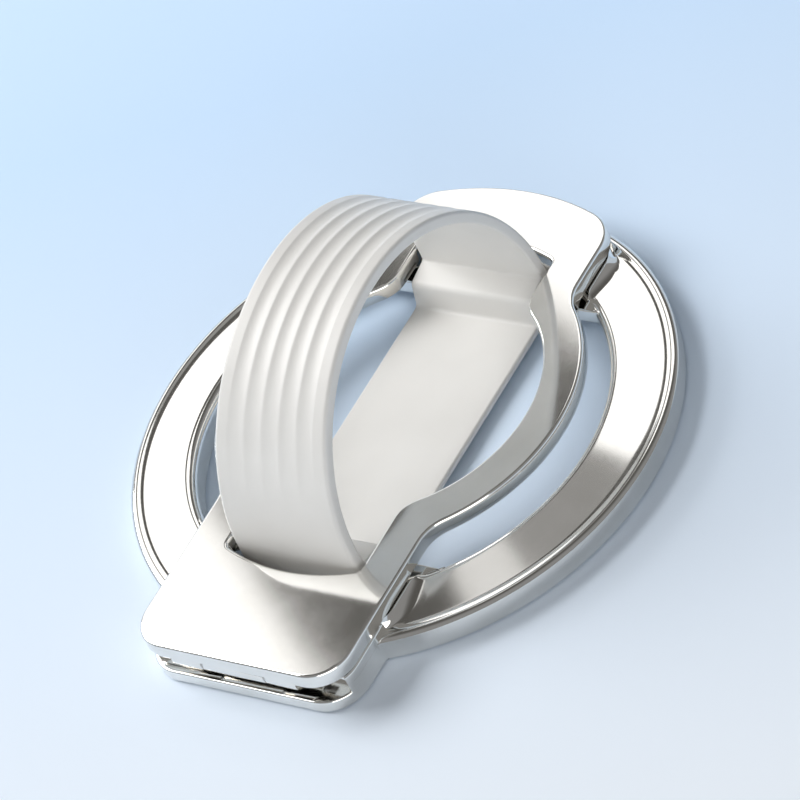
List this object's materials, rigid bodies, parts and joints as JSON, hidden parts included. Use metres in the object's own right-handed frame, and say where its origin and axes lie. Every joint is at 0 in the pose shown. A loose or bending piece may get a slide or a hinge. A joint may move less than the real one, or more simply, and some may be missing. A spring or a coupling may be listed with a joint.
{
  "type": "phone ring holder",
  "caption": "Round magnetic phone holder with a hinged metal stand plate and a soft ribbed finger strap looped over crossbars in the ring.",
  "frame": {"origin": "centre of the magnet ring on the underside that lies against the phone", "axes": "+Z away from the phone towards the finger loop, +X along the hinge, +Y from the hinge to the free end of the stand"},
  "size_m": [0.058, 0.0627, 0.0251],
  "materials": {
    "polished_metal": "polished nickel plate, satin sides",
    "plain_steel": "drawn steel",
    "strap_silicone": "satin moulded silicone",
    "cover_silicone": "matt silicone",
    "magnet_coating": "nickel-coated magnet"
  },
  "bodies": {
    "base": {"base_ring": "polished_metal", "cover_ring": "cover_silicone", "shunt_ring": "plain_steel", "magnet_01": "magnet_coating", "magnet_02": "magnet_coating", "magnet_03": "magnet_coating", "magnet_04": "magnet_coating", "magnet_05": "magnet_coating", "magnet_06": "magnet_coating", "magnet_07": "magnet_coating", "magnet_08": "magnet_coating", "magnet_09": "magnet_coating", "magnet_10": "magnet_coating", "magnet_11": "magnet_coating", "magnet_12": "magnet_coating", "magnet_13": "magnet_coating", "magnet_14": "magnet_coating", "magnet_15": "magnet_coating", "magnet_16": "magnet_coating", "finger_strap": "strap_silicone"},
    "stand": {"stand_plate": "polished_metal", "hinge_pin": "plain_steel", "friction_washer_left": "plain_steel", "friction_washer_right": "plain_steel"}
  },
  "joints": [
    {"name": "stand_hinge", "type": "hinge", "parent": "base", "child": "stand", "pos_m": [0, -0.0327, 0.0035], "axis": [1, 0, 0], "range_deg": [0, 110]}
  ]
}
